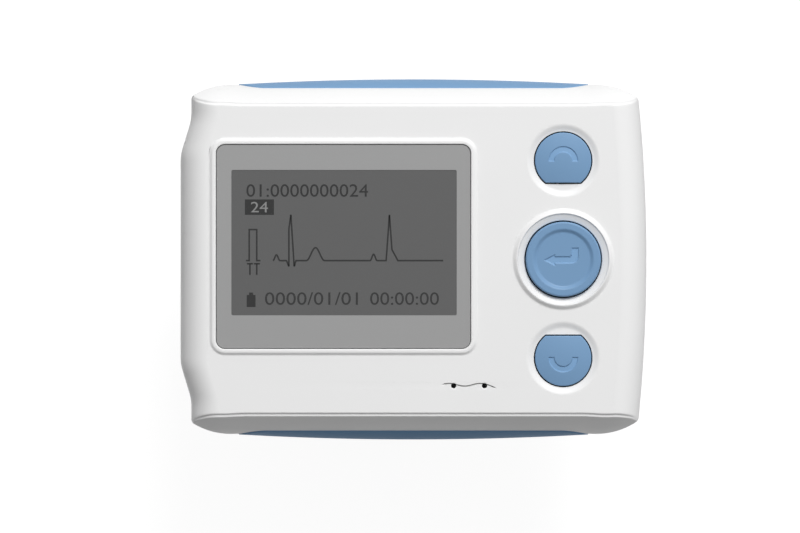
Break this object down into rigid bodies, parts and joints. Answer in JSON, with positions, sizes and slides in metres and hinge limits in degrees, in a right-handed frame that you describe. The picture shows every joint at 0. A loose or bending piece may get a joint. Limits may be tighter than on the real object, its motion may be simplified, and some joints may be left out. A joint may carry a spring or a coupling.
{
  "type": "holter monitor",
  "caption": "Wearable heart recorder with a screen, three push buttons, side grips and a hinged rear battery door.",
  "frame": {"origin": "middle of the flat rear face, which the recorder lies on", "axes": "+Z out of the screen, +X to the right and +Y up as the screen is read"},
  "size_m": [0.078, 0.0604, 0.0225],
  "materials": {
    "white_case": "fine satin moulding",
    "blue_rubbery": "soft satin blue",
    "window_clear": "clear gloss",
    "mask_grey": "printed grey film",
    "lcd_glass": "grey reflective display",
    "backlight_white": "milky diffuser",
    "black_plastic": "black moulding",
    "flex_amber": "amber film with copper lines",
    "foam_grey": "fine foam",
    "board_green": "green solder mask",
    "steel": "nickel plated steel",
    "gold": "gold plated contacts",
    "cell_wrap": "printed cell sleeve with a plain band",
    "ferrite": "dark ferrite",
    "ceramic_tan": "tan ceramic with tinned ends",
    "plunger_white": "off-white nylon"
  },
  "bodies": {
    "housing": {"front_shell": "white_case", "rear_shell": "white_case", "top_trim": "blue_rubbery", "bottom_trim": "blue_rubbery", "window_lens": "window_clear", "lens_mask": "mask_grey", "housing_screws": "steel", "board_screws": "steel", "main_board": "board_green", "lcd_panel": "lcd_glass", "lcd_backlight": "backlight_white", "lcd_frame": "black_plastic", "lcd_ribbon": "flex_amber", "lcd_gasket": "foam_grey", "up_switch": "black_plastic", "enter_switch": "black_plastic", "down_switch": "black_plastic", "switch_covers": "steel", "buzzer": "black_plastic", "buzzer_gasket": "foam_grey", "lead_socket_shell": "steel", "lead_socket_insert": "black_plastic", "lead_socket_contacts": "gold", "battery": "cell_wrap", "battery_spring": "steel", "battery_plate": "steel", "main_processor": "black_plastic", "memory_chip": "black_plastic", "amplifier_chip": "black_plastic", "ecg_shield": "steel", "clock_crystal": "steel", "boost_inductor": "ferrite", "capacitors": "ceramic_tan"},
    "up_key": {"up_button": "blue_rubbery", "up_plunger": "plunger_white"},
    "enter_key": {"enter_button": "blue_rubbery", "enter_plunger": "plunger_white"},
    "down_key": {"down_button": "blue_rubbery", "down_plunger": "plunger_white"},
    "door": {"battery_door": "white_case"}
  },
  "joints": [
    {"name": "up_press", "type": "slide", "parent": "housing", "child": "up_key", "axis": [0, 0, -1], "range_m": [0, 0.0004], "stiffness_N_per_m": 4000, "springref_m": -0.0002},
    {"name": "enter_press", "type": "slide", "parent": "housing", "child": "enter_key", "axis": [0, 0, -1], "range_m": [0, 0.0004], "stiffness_N_per_m": 4000, "springref_m": -0.0002},
    {"name": "down_press", "type": "slide", "parent": "housing", "child": "down_key", "axis": [0, 0, -1], "range_m": [0, 0.0004], "stiffness_N_per_m": 4000, "springref_m": -0.0002},
    {"name": "door_hinge", "type": "hinge", "parent": "housing", "child": "door", "pos_m": [0, -0.0206, 0.0016], "axis": [-1, 0, 0], "range_deg": [0, 90]}
  ]
}
